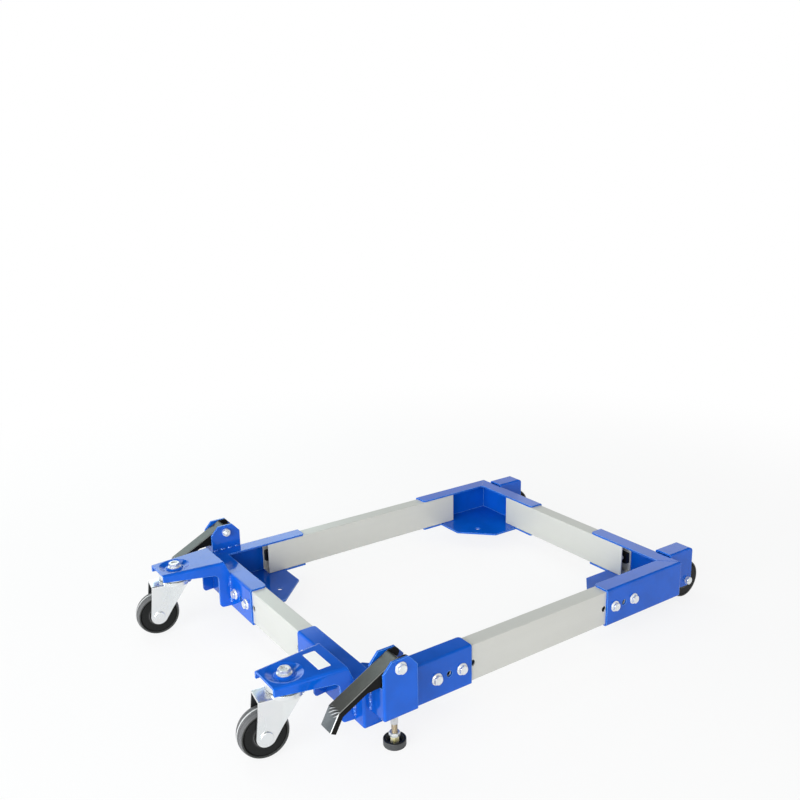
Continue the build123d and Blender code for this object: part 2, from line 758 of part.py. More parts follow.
def pedal_cam():
    """A cam whose flat follower moves evenly with the pedal: r(turn) is an involute."""
    rate = foot_travel / math.radians(pedal_lift)
    curve = []
    for i in range(cam_samples):
        turn = math.radians(pedal_lift) * i / (cam_samples - 1)
        reach = cam_reach - rate * turn
        curve.append((reach * math.sin(turn) - rate * math.cos(turn),
                      -reach * math.cos(turn) - rate * math.sin(turn)))
    sides = Polyline(curve[-1], (cam_hub_radius, 0), (-cam_hub_radius, 0), curve[0])
    lobe = make_face(Spline(*curve) + sides)
    cam_axes = Plane(origin=(pedal_x, pedal_y, pivot_z), x_dir=(0, 1, 0), z_dir=(1, 0, 0))
    profile = cam_axes * (lobe + Circle(cam_hub_radius))
    cam = extrude(profile, amount=pedal_width / 2 - pedal_sheet, both=True)
    return cam - pedal_bore()


# Levelling feet


def plunger():
    """The push rod: a flat head under the cam, a rod through the clevis floor, a tapped end."""
    push = rod(plunger_head_radius, plunger_top - plunger_head, plunger_top)
    push += rod(plunger_radius, plunger_bottom, plunger_top)
    push -= rod(bolt_thread / 2 + running_clearance, plunger_bottom, plunger_bottom + stem_bore_depth)
    return Pos(pedal_x, pedal_y, 0) * push


def foot_stem():
    """The levelling screw with its hexagon and the ball end that sits in the pad."""
    stem = rod(bolt_thread / 2, foot_seat, stem_top)
    stem += hex_prism(foot_hex, foot_seat, nut_seat)
    stem += rod(ball_end_radius, foot_seat - ball_end_depth + ball_end_gap, foot_seat)
    return Pos(pedal_x, pedal_y, 0) * stem


def foot_nut():
    bore = rod(bolt_thread / 2 + thread_clearance, nut_seat, lock_nut_top)
    return Pos(pedal_x, pedal_y, 0) * (hex_prism(lock_nut_hex, nut_seat, lock_nut_top) - bore)


def foot_pad():
    """A round rubber pad, dished on top, with a socket for the screw's ball end."""
    pad = rod(pad_radius, 0, pad_height)
    pad = fillet(pad.edges().filter_by(GeomType.CIRCLE), pad_edge)
    pad -= Pos(0, 0, foot_seat + pad_dish / 2) * Cone(pad_seat_radius, pad_dish_radius, pad_dish)
    socket = rod(ball_end_radius + ball_end_gap, foot_seat - ball_end_depth, foot_seat)
    return Pos(pedal_x, pedal_y, 0) * (pad - socket)


def spring_point(turn, rise):
    """A point of the spring's centre line and the direction of the wire there."""
    angle = 2 * math.pi * turn
    point = Vector(spring_radius * math.cos(angle), spring_radius * math.sin(angle), rise * turn)
    along = Vector(-spring_radius * math.sin(angle), spring_radius * math.cos(angle), rise / (2 * math.pi))
    return point, along.normalized()


def biarc(start, start_way, end, end_way):
    """Two tangent arcs that join two points with given directions."""
    chord = end - start
    ways = start_way + end_way
    spread = 2 * (1 - start_way.dot(end_way))
    lean = chord.dot(ways)
    reach = (math.sqrt(lean ** 2 + spread * chord.dot(chord)) - lean) / spread
    first = start + start_way * reach
    second = end - end_way * reach
    joint = (first + second) * 0.5
    return [Edge.make_tangent_arc(start, start_way, joint),
            Edge.make_tangent_arc(joint, second - first, end)]


def return_spring():
    """A coil spring from the clevis floor to the plunger's head, as one unbroken wire."""
    low = clevis_floor + spring_wire / 2 + spring_seat_gap
    high = plunger_top - plunger_head - spring_wire / 2 - spring_seat_gap
    rise = (high - low) / spring_turns
    quarters = 4 * spring_turns
    stations = [spring_point(i / 4, rise) for i in range(quarters + 1)]
    edges = []
    for (start, start_way), (end, end_way) in zip(stations, stations[1:]):
        edges += biarc(start, start_way, end, end_way)
    path = Wire(edges)
    section = Plane(origin=stations[0][0], z_dir=stations[0][1]) * Circle(spring_wire / 2)
    apart = min((stations[i][0] - stations[j][0]).length
                for i in range(quarters + 1) for j in range(i + 3, quarters + 1))
    print(f"return spring: least gap between turns {apart - spring_wire:.2f} mm")
    return Pos(pedal_x, pedal_y, low) * sweep(section, path=path)


def make_pedals():
    save_pair("pedal", pedal_lever())
    save_pair("pedal_cam", pedal_cam())
    save_pair("foot_plunger", plunger())
    save_pair("return_spring", return_spring())
    save_pair("foot_stem", foot_stem())
    save_pair("foot_nut", foot_nut())
    save_pair("foot_pad", foot_pad())


def main():
    os.makedirs("parts", exist_ok=True)
    make_rails()
    make_corners()
    make_casters()
    make_rear_wheels()
    make_clevises()
    make_pedals()
    print(f"centre of the rail rectangle at Y {frame_y:.3f} mm")


main()
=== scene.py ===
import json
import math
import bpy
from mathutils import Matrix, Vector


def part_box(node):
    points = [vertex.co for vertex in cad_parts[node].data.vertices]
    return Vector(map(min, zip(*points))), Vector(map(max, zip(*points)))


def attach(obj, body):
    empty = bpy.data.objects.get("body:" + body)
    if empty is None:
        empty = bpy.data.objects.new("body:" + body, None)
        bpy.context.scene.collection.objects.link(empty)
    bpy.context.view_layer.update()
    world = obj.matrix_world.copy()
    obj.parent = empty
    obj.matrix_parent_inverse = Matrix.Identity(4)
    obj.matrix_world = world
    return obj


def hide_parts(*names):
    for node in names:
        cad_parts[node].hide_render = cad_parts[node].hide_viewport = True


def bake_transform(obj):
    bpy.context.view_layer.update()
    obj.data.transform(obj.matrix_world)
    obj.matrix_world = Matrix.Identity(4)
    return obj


bl_info = {
    "name": "Machine base dresser",
    "version": (1, 0, 0),
    "blender": (4, 5, 0),
    "location": "3D View > Sidebar > Machine base",
    "description": "Dresses a rolling machine base with its finishes, welds, screws, springs and studio",
    "category": "Add Mesh",
}

import bmesh
import bpy
from bpy.props import FloatProperty, FloatVectorProperty, IntProperty, PointerProperty
from mathutils import Matrix, Vector

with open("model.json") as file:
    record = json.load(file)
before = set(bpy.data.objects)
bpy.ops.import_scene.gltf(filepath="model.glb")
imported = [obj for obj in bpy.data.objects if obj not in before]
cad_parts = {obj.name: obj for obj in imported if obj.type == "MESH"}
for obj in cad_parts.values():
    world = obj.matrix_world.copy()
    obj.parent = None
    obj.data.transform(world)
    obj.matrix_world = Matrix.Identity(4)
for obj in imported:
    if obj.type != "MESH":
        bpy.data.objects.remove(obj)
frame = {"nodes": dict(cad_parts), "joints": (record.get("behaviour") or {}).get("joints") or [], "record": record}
nodes = frame["nodes"]
joints = {joint["name"]: joint for joint in frame["joints"]}
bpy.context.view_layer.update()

SIDES = ("left", "right")
MM = 0.001
UP = Vector((0, 0, 1))
BACK = Vector((0, 1, 0))
TINY = 1e-9
MERGE_DISTANCE = 0.002 * MM
SHARP_ANGLE = math.radians(38)

# One turn of the screw thread: shares of the pitch along it and of the depth out from its root
THREAD_PROFILE = ((0.0, 0), (0.18, 0), (0.44, 1), (0.62, 1), (0.88, 0), (1.0, 0))

# Name, place, width, height, power in watts and colour of each soft light
LIGHTS = (
    ("front_light", (0.80, -2.4, 0.80), 2.2, 1.4, 64, (0.94, 0.98, 1.0)),
    ("side_light", (3.7, -1.9, 1.4), 2.6, 1.9, 62, (1.0, 0.985, 0.95)),
    ("top_light", (0.0, 0.2, 2.8), 2.6, 2.6, 5, (0.97, 0.98, 1.0)),
    ("back_light", (-1.6, -0.05, 0.78), 1.5, 0.6, 5.4, (0.74, 0.98, 0.97)),
    ("rear_light", (-1.14, 2.1, 1.12), 1.4, 0.5, 1.4, (0.90, 1.0, 0.98)),
    ("left_light", (-1.16, -0.42, 1.66), 0.55, 0.40, 3.2, (0.82, 1.0, 0.98)),
)
LIT_POINT = Vector((0, 0, 0.1))
FLOOR_HALF = 30.0
SENSOR_WIDTH = 36


# Sizes and colours that a user may change


class BaseSizes(bpy.types.PropertyGroup):
    """Sizes of the pieces that are added to the base."""

    weld_radius: FloatProperty(
        name="Weld radius", description="Radius of a fillet weld's bead", default=2.7 * MM,
        subtype="DISTANCE")
    seam_radius: FloatProperty(
        name="Seam radius", description="Radius of a ground corner weld", default=0.55 * MM,
        subtype="DISTANCE")
    weld_ripple: FloatProperty(
        name="Weld ripple", description="Distance from one ripple of a bead to the next", default=2.5 * MM,
        subtype="DISTANCE")
    cheek_tacks: IntProperty(name="Cheek tacks", description="Short welds under an inner cheek", default=4)
    pedal_slope: FloatProperty(
        name="Pedal slope", description="Slope of a pressed pedal", default=math.radians(27.4),
        subtype="ANGLE")
    pedal_length: FloatProperty(
        name="Pedal length", description="From a pedal's pivot to the bend of its tip", default=92 * MM,
        subtype="DISTANCE")
    fork_gap: FloatProperty(
        name="Fork gap", description="Inside width of a caster's fork", default=26 * MM, subtype="DISTANCE")
    fork_crown: FloatProperty(
        name="Fork crown", description="From the top of a fork's race to the underside of its crown",
        default=6 * MM, subtype="DISTANCE")
    foot_hex: FloatProperty(
        name="Foot hexagon", description="Across the flats of a levelling screw's hexagon", default=11 * MM,
        subtype="DISTANCE")
    foot_hex_height: FloatProperty(
        name="Foot hexagon height", description="Height of a levelling screw's hexagon", default=8 * MM,
        subtype="DISTANCE")
    thread_pitch: FloatProperty(
        name="Thread pitch", description="Pitch of the levelling screws", default=1.25 * MM,
        subtype="DISTANCE")
    thread_depth: FloatProperty(
        name="Thread depth", description="Depth of the levelling screws' thread", default=0.62 * MM,
        subtype="DISTANCE")
    spring_wire: FloatProperty(
        name="Spring wire", description="Diameter of the return springs' wire", default=1.8 * MM,
        subtype="DISTANCE")
    spring_turns: IntProperty(name="Spring turns", description="Turns of a return spring", default=6)
    label_length: FloatProperty(
        name="Label length", description="Length of the blank label", default=42.7 * MM, subtype="DISTANCE")
    label_width: FloatProperty(
        name="Label width", description="Width of the blank label", default=18.0 * MM, subtype="DISTANCE")


class BaseColours(bpy.types.PropertyGroup):
    """Colours of the finishes, in linear light."""

    coat: FloatVectorProperty(
        name="Powder coat", description="Blue of the brackets", default=(0.002, 0.104, 0.59), subtype="COLOR")
    # Paler blue for a thinner coat over edges, also used as a painted highlight there and on weld patches
    pale_coat_and_highlight: FloatVectorProperty(
        name="Coat edge", description="Paler blue where the coat thins on an edge",
        default=(0.17, 0.46, 0.93), subtype="COLOR")
    rail: FloatVectorProperty(
        name="Rail", description="Warm light grey of the rails", default=(0.60, 0.60, 0.565), subtype="COLOR")
    zinc: FloatVectorProperty(
        name="Zinc", description="Bright zinc plate", default=(0.76, 0.77, 0.78), subtype="COLOR")
    yellow_zinc: FloatVectorProperty(
        name="Yellow zinc", description="Passivated plate of the levelling screws",
        default=(0.66, 0.60, 0.26), subtype="COLOR")
    rubber: FloatVectorProperty(
        name="Rubber", description="Side walls and foot pads", default=(0.006, 0.0065, 0.0065),
        subtype="COLOR")
    tread: FloatVectorProperty(
        name="Tread", description="Rubbed rubber of the treads", default=(0.16, 0.16, 0.165), subtype="COLOR")
    lever: FloatVectorProperty(
        name="Lever", description="Black paint of the pedals", default=(0.020, 0.020, 0.018), subtype="COLOR")
    label: FloatVectorProperty(
        name="Label", description="Blank label", default=(0.95, 0.95, 0.945), subtype="COLOR")
    floor: FloatVectorProperty(
        name="Floor", description="Studio floor", default=(0.86, 0.86, 0.86), subtype="COLOR")


class BaseView(bpy.types.PropertyGroup):
    """Where the camera stands, from the centre of the rail rectangle on the floor."""

    place: FloatVectorProperty(
        name="Camera place", description="Camera's place from the rails' centre",
        default=(1.07592, -0.80269, 0.70210), subtype="XYZ", unit="LENGTH")
    right: FloatVectorProperty(
        name="Camera right", description="Direction of the picture's right edge",
        default=(0.56599, 0.82421, -0.01862), subtype="DIRECTION")
    up: FloatVectorProperty(
        name="Camera up", description="Direction of the picture's top edge",
        default=(-0.19509, 0.15585, 0.96834), subtype="DIRECTION")
    lens: FloatProperty(name="Lens", description="Focal length on a 36 mm sensor", default=39.412)


# Shader maths


class Term:
    """A socket that takes part in arithmetic: each operation adds a Math node."""

    def __init__(self, wiring, socket):
        self.wiring = wiring
        self.socket = socket

    def maths(self, operation, first, second):
        return self.wiring.node("ShaderNodeMath", {"operation": operation}, {0: first, 1: second})

    def sibling(self, output):
        """Another output of the same node."""
        return Term(self.wiring, self.socket.node.outputs[output])

    def __add__(self, other):
        return self.maths("ADD", self, other)

    __radd__ = __add__

    def __sub__(self, other):
        return self.maths("SUBTRACT", self, other)

    def __rsub__(self, other):
        return self.maths("SUBTRACT", other, self)

    def __mul__(self, other):
        return self.maths("MULTIPLY", self, other)

    __rmul__ = __mul__

    def __abs__(self):
        return self.maths("ABSOLUTE", self, 0)

    def step(self, low, high):
        """Rises smoothly from 0 at low to 1 at high."""
        return self.wiring.node(
            "ShaderNodeMapRange", {"interpolation_type": "SMOOTHSTEP"},
            {"Value": self, "From Min": low, "From Max": high})

    def band(self, rise, fall):
        """Rises smoothly to 1 over one range and falls back to 0 over a later one."""
        return self.step(*rise) - self.step(*fall)


class Wiring:
    """A node tree that nodes are added to."""

    def __init__(self, tree):
        self.tree = tree

    def node(self, kind, settings=None, inputs=None, output=0):
        """Add a node, apply its settings, feed its sockets and give one output."""
        made = self.tree.nodes.new(kind)
        for key, value in (settings or {}).items():
            setattr(made, key, value)
        for key, value in (inputs or {}).items():
            self.feed(made.inputs[key], value)
        return Term(self, made.outputs[output])

    def feed(self, socket, value):
        if isinstance(value, Term):
            self.tree.links.new(value.socket, socket)
        else:
            socket.default_value = value

    def parts(self, vector):
        """The three numbers of a vector."""
        x = self.node("ShaderNodeSeparateXYZ", None, {0: vector})
        return x, x.sibling(1), x.sibling(2)


class Finish(Wiring):
    """A material with a Principled shader, and the nodes that drive it."""

    def __init__(self, name):
        self.material = bpy.data.materials.new(name)
        self.material.use_nodes = True
        super().__init__(self.material.node_tree)
        self.shader = self.tree.nodes["Principled BSDF"]
        self.place = self.node("ShaderNodeTexCoord", output="Object")

    def from_centre(self, centre):
        """Object coordinates, counted from a centre."""
        return self.node("ShaderNodeVectorMath", {"operation": "SUBTRACT"}, {0: self.place, 1: centre})

    def stretched(self, scale, centre=(0, 0, 0)):
        """Object coordinates, counted from a centre and stretched."""
        return self.node("ShaderNodeMapping", None, {"Vector": self.from_centre(centre), "Scale": scale})

    def length(self, vector):
        return self.node("ShaderNodeVectorMath", {"operation": "LENGTH"}, {0: vector}, output="Value")

    def radius(self, first, second):
        """The distance from an axis, by the two coordinates across it."""
        return self.length(self.node("ShaderNodeCombineXYZ", None, {0: first, 1: second}))

    def noise(self, scale, detail=2.0, vector=None, rough=0.5):
        """Noise of a given scale per metre, centred on 0.5."""
        return self.node(
            "ShaderNodeTexNoise", None,
            {"Vector": vector or self.place, "Scale": scale, "Detail": detail, "Roughness": rough})

    def mix(self, share, first, second):
        """A colour between two, by a share from 0 to 1."""
        return self.node(
            "ShaderNodeMix", {"data_type": "RGBA"},
            {0: share, 6: colour(first), 7: colour(second)}, output=2)

    def edge(self, radius):
        """1 close to a sharp edge, 0 on flat metal."""
        rounded = self.node("ShaderNodeBevel", {"samples": 6}, {"Radius": radius})
        flat = self.node("ShaderNodeNewGeometry", output="Normal")
        likeness = self.node(
            "ShaderNodeVectorMath", {"operation": "DOT_PRODUCT"}, {0: rounded, 1: flat}, output="Value")
        return (1 - likeness).step(0.02, 0.22)

    def relief(self, height, depth, radius=None):
        """A bumped normal of a given depth in metres, on edges rounded by a radius."""
        inputs = {"Height": height, "Distance": depth, "Strength": 1.0}
        if radius:
            inputs["Normal"] = self.node("ShaderNodeBevel", {"samples": 6}, {"Radius": radius})
        return self.node("ShaderNodeBump", None, inputs)

    def dress(self, **sockets):
        """Feed the shader's own sockets, named with underscores for spaces."""
        for key, value in sockets.items():
            name = key.replace("_", " ")
            self.feed(self.shader.inputs[name], colour(value) if name == "Base Color" else value)
        return self.material


def colour(value):
    """A colour socket's value: three numbers get an alpha of 1."""
    if isinstance(value, Term):
        return value
    return (*value, 1.0)


def shaded(tone, share):
    """A colour made darker or lighter by a share."""
    return tuple(share * part for part in tone)


# Finishes


def powder_coat(colours):
    """Glossy blue powder coat: orange peel, slow cloudiness, paler over edges, where it thins and where a painted
    highlight stands in for light they catch.
    """
    coat = Finish("blue_powder_coat")
    handled = (0.02, 0.14, 0.66)
    cloud = coat.noise(21, 3).step(0.35, 0.65)
    peel = coat.noise(480, 2)
    dull_and_shade = coat.noise(95, 4, rough=0.65).step(0.52, 0.74)
    edge = coat.edge(1.5 * MM)
    tint = coat.mix(cloud, shaded(colours.coat, 0.88), tuple(colours.coat))
    tint = coat.mix(dull_and_shade * 0.08, tint, handled)
    # Paler edges: partly thinner coat, partly a painted highlight
    tint = coat.mix(edge * 0.9, tint, tuple(colours.pale_coat_and_highlight))
    return coat.dress(
        Base_Color=tint, Roughness=0.08 + 0.03 * cloud + 0.08 * dull_and_shade, Specular_IOR_Level=0.28,
        Coat_Weight=0.08 - 0.06 * dull_and_shade, Coat_Roughness=0.05, Normal=coat.relief(peel, 0.014 * MM, 0.9 * MM))


def weld_coat(colours):
    """The same coat over a weld: uneven in thickness, with a little spatter and painted highlights on its paler
    patches.
    """
    weld = Finish("weld_powder_coat")
    pool = weld.noise(420, 3)
    spatter = weld.noise(900, 1).step(0.68, 0.74)
    tint = weld.mix(pool.step(0.35, 0.65), shaded(colours.coat, 0.72), tuple(colours.coat))
    # Painted highlights: paler patches on the bead
    tint = weld.mix(pool.step(0.50, 0.70) * 0.45, tint, tuple(colours.pale_coat_and_highlight))
    return weld.dress(
        Base_Color=tint, Roughness=0.10 + 0.08 * pool, Specular_IOR_Level=0.5, Coat_Weight=0.3 + 0.2 * pool,
        Coat_Roughness=0.06, Normal=weld.relief(pool + 2 * spatter, 0.10 * MM))


def rail_paint(name, colours, along):
    """Warm grey rail: faint drawn streaks along the tube, slow mottling and a painted highlight along its edges.
    """
    rail = Finish(name)
    mottled = (0.64, 0.64, 0.61)
    rail_edge_highlight = (0.80, 0.80, 0.78)
    stretch = tuple(3.0 if axis == along else 90.0 for axis in range(3))
    streak = rail.noise(1.0, 3, rail.stretched(stretch))
    mottle = rail.noise(34, 4, rough=0.6)
    grit = rail.noise(650, 2)
    edge = rail.edge(1.0 * MM)
    shade = rail.mix(streak.step(0.3, 0.7), shaded(colours.rail, 0.985), tuple(colours.rail))
    shade = rail.mix(mottle.step(0.45, 0.75) * 0.2, shade, mottled)
    # Painted highlight along the rail's edges
    shade = rail.mix(edge * 0.7, shade, rail_edge_highlight)
    return rail.dress(
        Base_Color=shade, Metallic=0.10, Roughness=0.34 + 0.05 * streak + 0.06 * mottle,
        Normal=rail.relief(grit + streak, 0.004 * MM, 0.6 * MM))


def about_axle(finish, joint):
    """Places counted from a wheel's middle: along its axle, level across it and up."""
    way = Vector(joint["axis"])
    local = finish.node(
        "ShaderNodeVectorRotate", {"rotation_type": "Z_AXIS"},
        {"Vector": finish.from_centre(tuple(joint["pos_m"])), "Angle": -math.atan2(way.y, way.x)})
    return finish.parts(local)


def zinc_plate(name, colours, metal, roughness, tint_share, fork=None):
    """Bright zinc: a milky passivated film, a faint blue and yellow cast, dulled by handling, with a painted
    highlight along edges.

    A fork is given by its wheel's joint, half its inside width and its crown's height over the axle, and gets
    painted shade inside, between its legs and below its crown.
    """
    zinc = Finish(name)
    bluish = (0.73, 0.76, 0.77)
    yellowish = (0.82, 0.80, 0.72)
    zinc_edge_highlight = (0.93, 0.93, 0.93)
    dull_and_shade = (0.05, 0.055, 0.06)
    cast = zinc.noise(38, 2).step(0.3, 0.7)
    smear = zinc.noise(34, 1)
    edge = zinc.edge(0.6 * MM)
    tone = zinc.mix(cast, tuple(colours.zinc), bluish)
    tone = zinc.mix(smear.step(0.5, 0.75) * tint_share, tone, yellowish)
    # Painted highlight along the edges
    tone = zinc.mix(edge * 0.5, tone, zinc_edge_highlight)
    if fork:
        joint, gap, crown = fork
        across, _, rise = about_axle(zinc, joint)
        between = 1 - abs(across).step(gap + 0.05 * MM, gap + 0.4 * MM)
        below = 1 - rise.step(crown - 0.6 * MM, crown)
        # Painted shade inside the fork, between its legs and below its crown
        tone = zinc.mix(between * below * 0.92, tone, dull_and_shade)
    return zinc.dress(
        Base_Color=tone, Metallic=metal - 0.08 * smear, Roughness=roughness + 0.12 * smear,
        Normal=zinc.relief(smear, 0.004 * MM, 0.5 * MM))


def yellow_plate(colours, centre):
    """Yellow passivated plate: gold and straw patches, browner in the thread."""
    plate = Finish("yellow_zinc")
    straw = (0.78, 0.74, 0.60)
    brown = (0.36, 0.27, 0.19)
    patch = plate.noise(210, 3)
    fine = plate.noise(900, 2)
    x, y, _ = plate.parts(plate.place)
    thread = 1 - plate.radius(abs(x) - centre.x, y - centre.y).step(4.1 * MM, 4.6 * MM)
    tone = plate.mix(patch.step(0.35, 0.7), tuple(colours.yellow_zinc), straw)
    tone = plate.mix(thread * 0.75, tone, brown)
    return plate.dress(
        Base_Color=tone, Metallic=0.45, Roughness=0.26 + 0.2 * patch,
        Normal=plate.relief(fine, 0.01 * MM, 0.3 * MM))


def bare_steel(name, tone, roughness):
    """Oiled steel with turned lines and darker stains."""
    steel = Finish(name)
    lines = steel.noise(1.0, 2, steel.stretched((150, 150, 1600)))
    stain = steel.noise(130, 3)
    shade = steel.mix(stain.step(0.45, 0.75), tone, shaded(tone, 0.62))
    return steel.dress(
        Base_Color=shade, Metallic=1.0, Roughness=roughness + 0.2 * lines,
        Normal=steel.relief(lines, 0.012 * MM, 0.4 * MM))


def tyre_rubber(name, colours, joint):
    """A tyre drawn about its axle: a scuffed tread with a painted highlight line along its crown, a painted
    highlight on the shoulder, a paler outer band and painted shade in the groove.
    """
    tyre = Finish(name)
    scuffed = (0.24, 0.24, 0.24)
    crown_highlight_grey = (0.72, 0.72, 0.72)
    band_grey = (0.045, 0.047, 0.045)
    shoulder_highlight_grey = (0.15, 0.15, 0.15)
    groove_shade = (0.0008, 0.0008, 0.0008)
    x, y, z = about_axle(tyre, joint)
    radius = tyre.radius(y, z)
    groove = radius.band((26.6 * MM, 27.1 * MM), (28.0 * MM, 28.5 * MM))
    outer_band = radius.step(28.0 * MM, 28.6 * MM)
    shoulder = radius.step(30.2 * MM, 30.6 * MM)
    tread = radius.step(30.8 * MM, 31.3 * MM)
    crown_highlight = 1 - abs(x).step(0.7 * MM, 1.5 * MM)
    grain = tyre.noise(900, 3)
    scuff = tyre.noise(1.0, 3, tyre.stretched((420, 70, 70), tuple(joint["pos_m"])))
    lines = tyre.noise(1.0, 2, tyre.node("ShaderNodeCombineXYZ", None, {0: x * 1100}))
    tread_wear_and_highlight = tyre.mix(lines.step(0.30, 0.72), shaded(colours.tread, 0.55), tuple(colours.tread))
    tread_wear_and_highlight = tyre.mix(scuff.step(0.55, 0.8) * 0.5, tread_wear_and_highlight, scuffed)
    # Painted highlight: a pale line along the crown of the tread
    tread_wear_and_highlight = tyre.mix(crown_highlight * 0.85, tread_wear_and_highlight, crown_highlight_grey)
    wall = tyre.mix(grain.step(0.3, 0.7), tuple(colours.rubber), shaded(colours.rubber, 1.7))
    wall = tyre.mix(outer_band * 0.9, wall, band_grey)
    # Painted highlight on the tyre's shoulder
    wall = tyre.mix(shoulder * 0.7, wall, shoulder_highlight_grey)
    # Painted shade in the side groove
    wall = tyre.mix(groove * 0.9, wall, groove_shade)
    return tyre.dress(
        Base_Color=tyre.mix(tread, wall, tread_wear_and_highlight), Specular_IOR_Level=0.16,
        Roughness=0.44 + 0.16 * scuff - 0.10 * tread + 0.3 * groove,
        Normal=tyre.relief(grain + lines * tread * 2, 0.03 * MM, 0.6 * MM))


def hub_plastic(name, joint):
    """A moulded hub drawn about its axle: fine rings, a grey boss and a painted highlight on the lip ring."""
    hub = Finish(name)
    valley = (0.010, 0.010, 0.011)
    ridge = (0.020, 0.020, 0.021)
    lip_highlight_grey = (0.16, 0.16, 0.16)
    boss_grey = (0.10, 0.10, 0.10)
    _, y, z = about_axle(hub, joint)
    radius = hub.radius(y, z)
    boss = 1 - radius.step(10.8 * MM, 11.6 * MM)
    lip = radius.band((14.2 * MM, 14.5 * MM), (15.0 * MM, 15.6 * MM))
    rings = hub.noise(1.0, 1, hub.node("ShaderNodeCombineXYZ", None, {0: radius * 900}))
    speck = hub.noise(1100, 2)
    face = hub.mix(rings, valley, ridge)
    # Painted highlight on the lip ring
    face = hub.mix(lip * 0.6, face, lip_highlight_grey)
    return hub.dress(
        Base_Color=hub.mix(boss, face, boss_grey), Roughness=0.38 + 0.2 * rings, Specular_IOR_Level=0.3,
        Normal=hub.relief(speck + rings, 0.02 * MM, 0.5 * MM))


def lever_paint(colours, sizes, pivot):
    """Black paint, lighter on top and darker on its sides as painted light, with random rub and dust specks on
    top; painted highlights along its rounded edges, brightest at the tip; creased across the bend, with painted
    shade in the crease and painted highlights on the ridges.
    """
    paint = Finish("pedal_black")
    tip_wear_and_highlight = (0.060, 0.070, 0.077)
    crease_shade = (0.012, 0.012, 0.012)
    crest_highlight = (0.50, 0.51, 0.52)
    pedal_edge_highlight = (0.42, 0.43, 0.42)
    pedal_tip_highlight = (0.95, 0.95, 0.95)
    dust = (0.20, 0.20, 0.19)
    crease_pitch = 6.2 * MM
    slope = sizes.pedal_slope

    x, y, z = paint.parts(paint.place)
    past_bend = (pivot.y - y) * math.cos(slope) + (pivot.z - z) * math.sin(slope) - sizes.pedal_length
    outward = abs(x) - abs(pivot.x)
    turned = abs(paint.parts(paint.node("ShaderNodeNewGeometry", output="Normal"))[0])
    top = (1 - turned.step(0.55, 0.9)) * past_bend.step(-97 * MM, -93 * MM)
    shoulder = turned.band((0.25, 0.45), (0.65, 0.85))
    tip = past_bend.step(-2 * MM, 2 * MM)
    bend = past_bend.band((-4 * MM, -1 * MM), (3.5 * MM, 7.5 * MM))
    creased = bend * outward.step(-9 * MM, -5 * MM) * top
    slant = outward + past_bend * 1.4 - 2.0 * MM
    waves = paint.node("ShaderNodeMath", {"operation": "COSINE"}, {0: slant * (2 * math.pi / crease_pitch)})

    peel = paint.noise(430, 2)
    rub = paint.noise(75, 4, rough=0.65)
    speck = paint.noise(620, 1).step(0.71, 0.78)
    top_wear_and_light = paint.mix(rub.step(0.35, 0.7), shaded(colours.lever, 2.2), shaded(colours.lever, 2.7))
    # Lighter tip: partly rubbed paint, partly a painted highlight
    top_wear_and_light = paint.mix(tip, top_wear_and_light, tip_wear_and_highlight)
    # Painted shade in the crease of the bend
    top_wear_and_light = paint.mix(creased * 0.8, top_wear_and_light, crease_shade)
    # Painted highlights on the ridges of the crease
    top_wear_and_light = paint.mix(waves.step(0.30, 0.85) * creased * 0.75, top_wear_and_light, crest_highlight)
    # Painted light: top lighter and sides darker, by the way the surface faces
    tone = paint.mix(top, shaded(colours.lever, 0.3), top_wear_and_light)
    # Painted highlights along the rounded edges, brightest at the tip
    tone = paint.mix(shoulder * (0.35 + 0.5 * tip), tone, paint.mix(tip, pedal_edge_highlight, pedal_tip_highlight))
    tone = paint.mix(speck * top * 0.3, tone, dust)
    return paint.dress(
        Base_Color=tone, Roughness=0.40 + 0.12 * rub, Specular_IOR_Level=0.10,
        Coat_Weight=0.7 * top * (1 - speck), Coat_Roughness=0.16,
        Normal=paint.relief(peel * 0.08 + waves * creased, 0.25 * MM, 0.8 * MM))


def pad_rubber(colours):
    """Moulded foot rubber, black on top and greyer round its side."""
    pad = Finish("foot_rubber")
    side_grey = (0.066, 0.069, 0.071)
    grain = pad.noise(1300, 3)
    smear = pad.noise(170, 3, rough=0.6)
    facing_up = pad.parts(pad.node("ShaderNodeNewGeometry", output="Normal"))[2]
    # Greyer round the side, chosen by the way the surface faces
    side = (1 - abs(facing_up).step(0.25, 0.75)) * (0.55 + 0.45 * smear)
    return pad.dress(
        Base_Color=pad.mix(side, tuple(colours.rubber), side_grey), Roughness=0.36 + 0.2 * smear,
        Specular_IOR_Level=0.35, Normal=pad.relief(grain, 0.03 * MM, 0.6 * MM))


def label_film(colours):
    """Blank white film with a faint ripple, slightly yellowed in patches."""
    film = Finish("blank_label")
    yellowed = (0.90, 0.90, 0.87)
    ripple = film.noise(160, 2)
    fibre = film.noise(1500, 2)
    tone = film.mix(ripple.step(0.3, 0.8) * 0.35, tuple(colours.label), yellowed)
    return film.dress(Base_Color=tone, Roughness=0.28 + 0.1 * fibre, Normal=film.relief(ripple, 0.03 * MM))


# Mesh helpers


def finished(mesh, name, material, body, smooth=True):
    """Turn a bmesh into a piece that rides on a body of the base."""
    bmesh.ops.remove_doubles(mesh, verts=mesh.verts, dist=MERGE_DISTANCE)
    bmesh.ops.recalc_face_normals(mesh, faces=mesh.faces)
    data = bpy.data.meshes.new(name)
    mesh.to_mesh(data)
    mesh.free()
    if smooth:
        data.shade_smooth()
        data.set_sharp_from_angle(angle=SHARP_ANGLE)
    data.materials.append(material)
    piece = bpy.data.objects.new(name, data)
    bpy.context.scene.collection.objects.link(piece)
    if body:
        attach(piece, body)
    return piece


def aim(direction, place):
    """The matrix that turns +Z along a direction and moves to a place."""
    return Matrix.Translation(place) @ Vector(direction).to_track_quat("Z", "Y").to_matrix().to_4x4()


